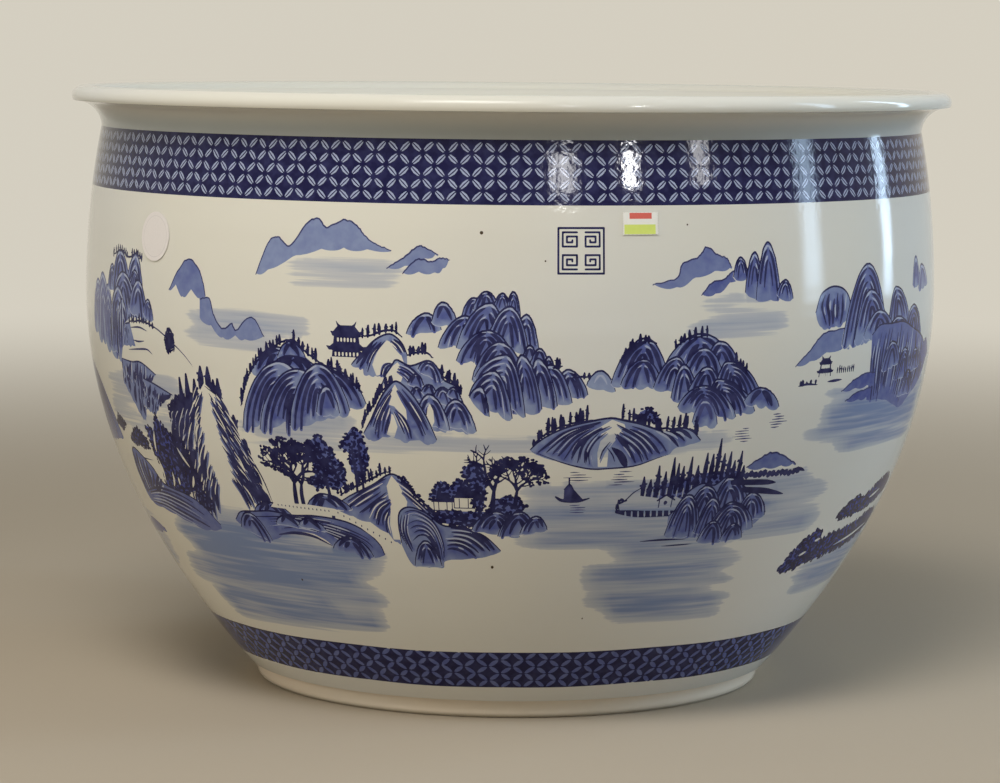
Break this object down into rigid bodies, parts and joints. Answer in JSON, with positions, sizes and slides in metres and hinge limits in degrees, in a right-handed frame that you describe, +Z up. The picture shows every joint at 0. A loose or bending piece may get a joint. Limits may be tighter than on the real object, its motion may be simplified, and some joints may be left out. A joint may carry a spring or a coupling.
{
  "type": "porcelain jardiniere",
  "caption": "Wide glazed porcelain bowl planter with an everted rolled lip, full rounded belly tapering to a low foot ring, and blue painted decoration between two patterned bands.",
  "frame": {"origin": "centre of the foot ring's resting face, on the vessel's axis", "axes": "+Z up along the axis, -Y towards the front of the painted decoration, +X to the viewer's right"},
  "size_m": [0.61, 0.61, 0.4115],
  "materials": {
    "white_glaze": "clear glossy glaze over white porcelain",
    "painted_glaze": "glossy glaze over underglaze blue landscape painting on white porcelain",
    "band_glaze": "glossy glaze over dark underglaze blue band with white petal lattice",
    "foot_glaze": "glazed outside, unglazed and fine grained on the resting face",
    "label_paper": "matt white paper",
    "price_paper": "matt white paper with a red and a green printed block"
  },
  "bodies": {
    "root": {"foot_ring": "foot_glaze", "base_floor": "white_glaze", "lower_wall": "painted_glaze", "belly_wall": "painted_glaze", "shoulder_wall": "band_glaze", "rim_lip": "white_glaze", "lot_label": "label_paper", "price_label": "price_paper"}
  },
  "joints": []
}
